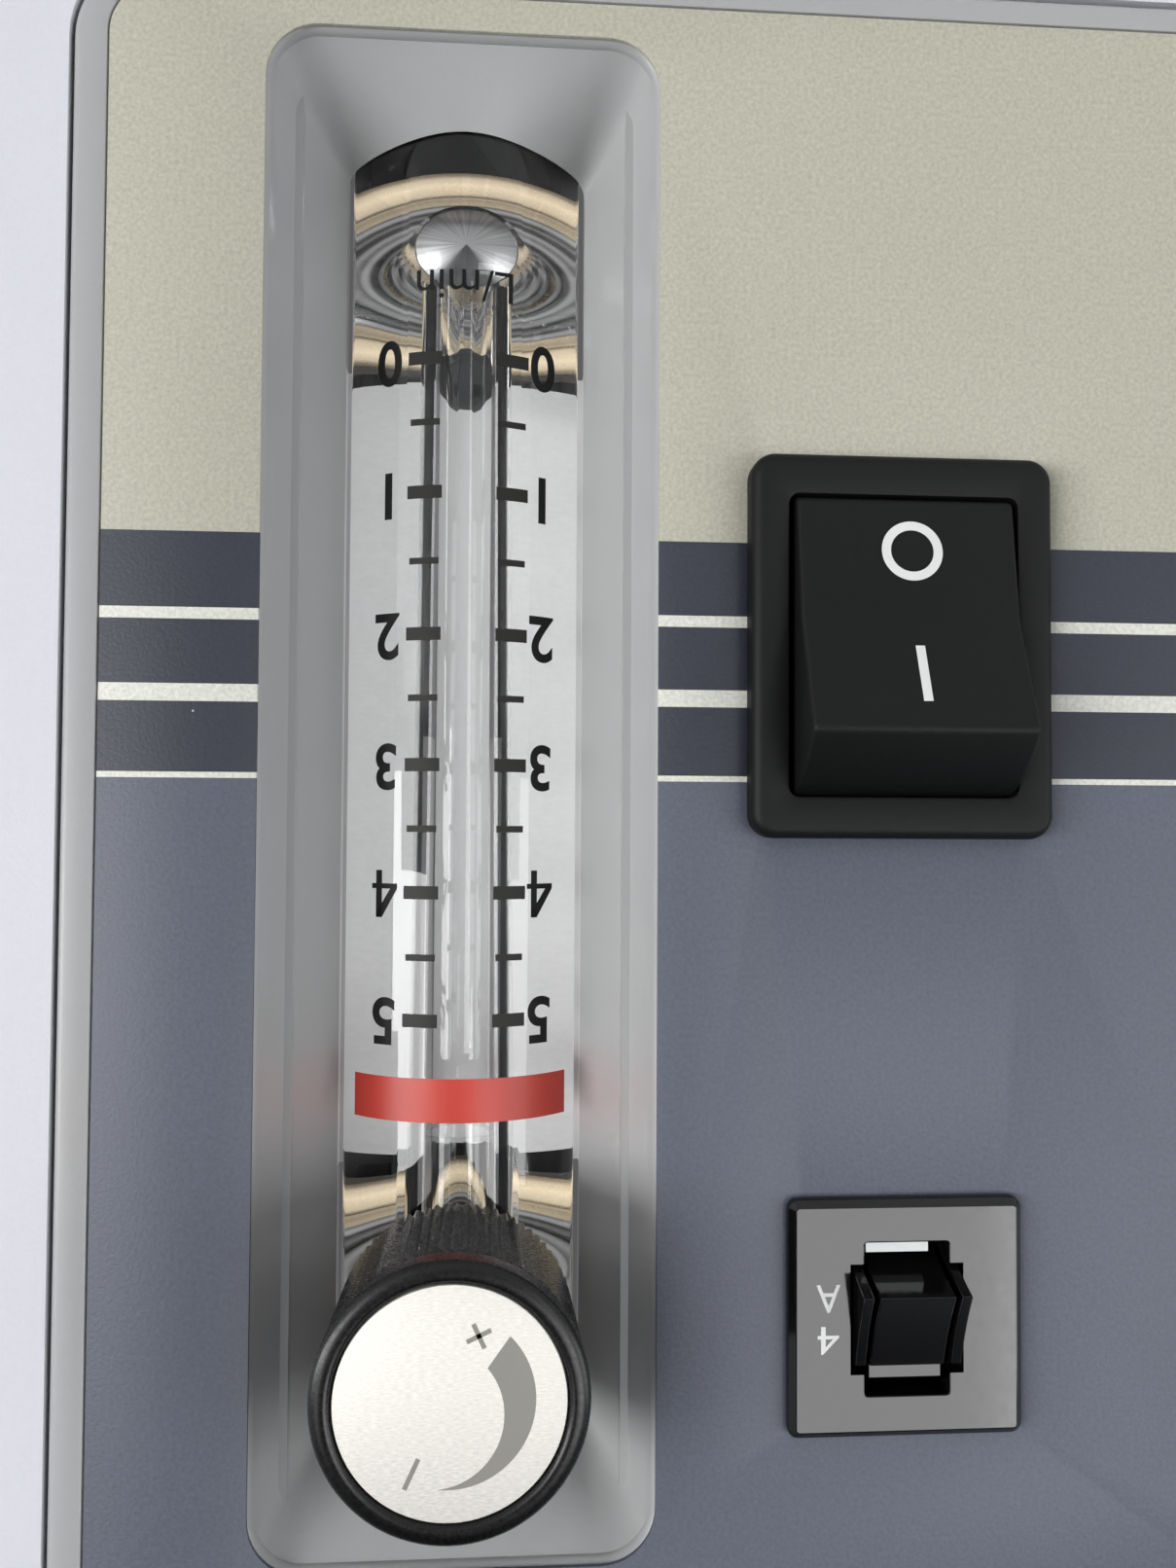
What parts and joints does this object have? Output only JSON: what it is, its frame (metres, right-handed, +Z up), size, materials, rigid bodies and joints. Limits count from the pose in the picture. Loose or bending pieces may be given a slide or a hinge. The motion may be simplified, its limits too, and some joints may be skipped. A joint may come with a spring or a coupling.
{
  "type": "oxygen concentrator",
  "caption": "Stationary oxygen concentrator on casters with a front control panel: acrylic flowmeter with float and knurled knob, rocker switch, circuit breaker and oxygen outlet.",
  "frame": {"origin": "centre of the bounding box's bottom face, on the floor between the casters", "axes": "+Z up, +X to the right seen from the front, +Y from the front panel into the machine"},
  "size_m": [0.35, 0.322, 0.62],
  "materials": {
    "cabinet_white": "fine satin",
    "panel_grey": "satin",
    "base_grey": "textured",
    "overlay_film": "fine texture, printed",
    "acrylic": "polished clear",
    "white_plastic": "smooth",
    "matte_black": "fine matte",
    "gloss_black": "gloss",
    "disc_aluminium": "fine brushed",
    "steel": "plated",
    "brass": "machined",
    "cast_aluminium": "as cast",
    "rubber": "matte",
    "wheel_grey": "satin",
    "foam": "open cell",
    "bed_tube": "satin",
    "sound_foam": "matte",
    "board_green": "solder mask",
    "hose_clear": "silicone"
  },
  "bodies": {
    "cabinet": {"front_cover": "cabinet_white", "rear_cover": "cabinet_white", "base_tray": "base_grey", "screws": "steel", "grip_tub": "base_grey", "grip_bar": "panel_grey", "outlet_cup": "panel_grey", "outlet_fitting": "steel", "outlet_nut": "steel", "humidifier_niche": "panel_grey", "intake_foam": "foam", "mains_inlet": "matte_black", "caster_plates": "steel", "panel_bezel": "panel_grey", "panel_overlay": "overlay_film", "flow_block": "acrylic", "flow_plug": "acrylic", "float_stops": "acrylic", "backing_plate": "white_plastic", "flow_stubs": "brass", "valve_bushing": "brass", "switch_body": "matte_black", "breaker_body": "gloss_black", "breaker_indicator": "white_plastic", "contact_blades": "brass", "sound_box": "sound_foam", "compressor_case": "cast_aluminium", "compressor_heads": "cast_aluminium", "compressor_mounts": "rubber", "fan_frame": "matte_black", "cooling_coil": "cast_aluminium", "sieve_beds": "bed_tube", "product_tank": "bed_tube", "valve_manifold": "cast_aluminium", "solenoid_valves": "steel", "pressure_regulator": "brass", "intake_filter": "white_plastic", "exhaust_muffler": "white_plastic", "run_capacitor": "white_plastic", "control_board": "board_green", "air_hoses": "hose_clear"},
    "switch_rocker": {"switch_rocker": "matte_black"},
    "breaker_rocker": {"breaker_rocker": "gloss_black"},
    "knob": {"knob": "gloss_black", "knob_disc": "disc_aluminium"},
    "needle": {"valve_needle": "steel"},
    "float": {"float_ball": "gloss_black"},
    "intake_grille": {"intake_grille": "panel_grey"},
    "compressor_rotor": {"compressor_shaft": "steel", "compressor_vanes": "white_plastic"},
    "fan_rotor": {"fan_rotor": "matte_black"},
    "caster_swivel_front_left": {"caster_fork_front_left": "steel"},
    "caster_roll_front_left": {"caster_wheel_front_left": "wheel_grey"},
    "caster_swivel_front_right": {"caster_fork_front_right": "steel"},
    "caster_roll_front_right": {"caster_wheel_front_right": "wheel_grey"},
    "caster_swivel_rear_left": {"caster_fork_rear_left": "steel"},
    "caster_roll_rear_left": {"caster_wheel_rear_left": "wheel_grey"},
    "caster_swivel_rear_right": {"caster_fork_rear_right": "steel"},
    "caster_roll_rear_right": {"caster_wheel_rear_right": "wheel_grey"}
  },
  "joints": [
    {"name": "switch_rock", "type": "hinge", "parent": "cabinet", "child": "switch_rocker", "pos_m": [-0.0146, -0.1467, 0.49655], "axis": [-1, 0, 0], "range_deg": [0, 33]},
    {"name": "breaker_rock", "type": "hinge", "parent": "cabinet", "child": "breaker_rocker", "pos_m": [-0.015, -0.146, 0.5508], "axis": [-1, 0, 0], "range_deg": [0, 40.8]},
    {"name": "knob_turn", "type": "hinge", "parent": "cabinet", "child": "knob", "pos_m": [0.0213, -0.149, 0.55205], "axis": [0, -1, 0], "range_deg": [0, 1440]},
    {"name": "needle_slide", "type": "slide", "parent": "cabinet", "child": "needle", "axis": [0, -1, 0], "range_m": [0, 0.002]},
    {"name": "float_slide", "type": "slide", "parent": "cabinet", "child": "float", "axis": [0, 0, 1], "range_m": [0, 0.061]},
    {"name": "grille_pull", "type": "slide", "parent": "cabinet", "child": "intake_grille", "axis": [0, 1, 0], "range_m": [0, 0.02]},
    {"name": "compressor_spin", "type": "hinge", "parent": "cabinet", "child": "compressor_rotor", "pos_m": [0.038, 0.038, 0.161], "axis": [1, 0, 0], "continuous": true},
    {"name": "fan_spin", "type": "hinge", "parent": "cabinet", "child": "fan_rotor", "pos_m": [0.018, 0.038, 0.332], "axis": [0, 0, 1], "continuous": true},
    {"name": "swivel_front_left", "type": "hinge", "parent": "cabinet", "child": "caster_swivel_front_left", "pos_m": [-0.133, -0.105, 0.0575], "axis": [0, 0, 1], "continuous": true},
    {"name": "roll_front_left", "type": "hinge", "parent": "caster_swivel_front_left", "child": "caster_roll_front_left", "pos_m": [-0.133, -0.089, 0.024], "axis": [1, 0, 0], "continuous": true},
    {"name": "swivel_front_right", "type": "hinge", "parent": "cabinet", "child": "caster_swivel_front_right", "pos_m": [0.133, -0.105, 0.0575], "axis": [0, 0, 1], "continuous": true},
    {"name": "roll_front_right", "type": "hinge", "parent": "caster_swivel_front_right", "child": "caster_roll_front_right", "pos_m": [0.133, -0.089, 0.024], "axis": [1, 0, 0], "continuous": true},
    {"name": "swivel_rear_left", "type": "hinge", "parent": "cabinet", "child": "caster_swivel_rear_left", "pos_m": [-0.133, 0.117, 0.0575], "axis": [0, 0, 1], "continuous": true},
    {"name": "roll_rear_left", "type": "hinge", "parent": "caster_swivel_rear_left", "child": "caster_roll_rear_left", "pos_m": [-0.133, 0.133, 0.024], "axis": [1, 0, 0], "continuous": true},
    {"name": "swivel_rear_right", "type": "hinge", "parent": "cabinet", "child": "caster_swivel_rear_right", "pos_m": [0.133, 0.117, 0.0575], "axis": [0, 0, 1], "continuous": true},
    {"name": "roll_rear_right", "type": "hinge", "parent": "caster_swivel_rear_right", "child": "caster_roll_rear_right", "pos_m": [0.133, 0.133, 0.024], "axis": [1, 0, 0], "continuous": true}
  ],
  "couplings": [
    {"joint": "needle_slide", "follows": "knob_turn", "m_per_rad": 0.000079577}
  ]
}
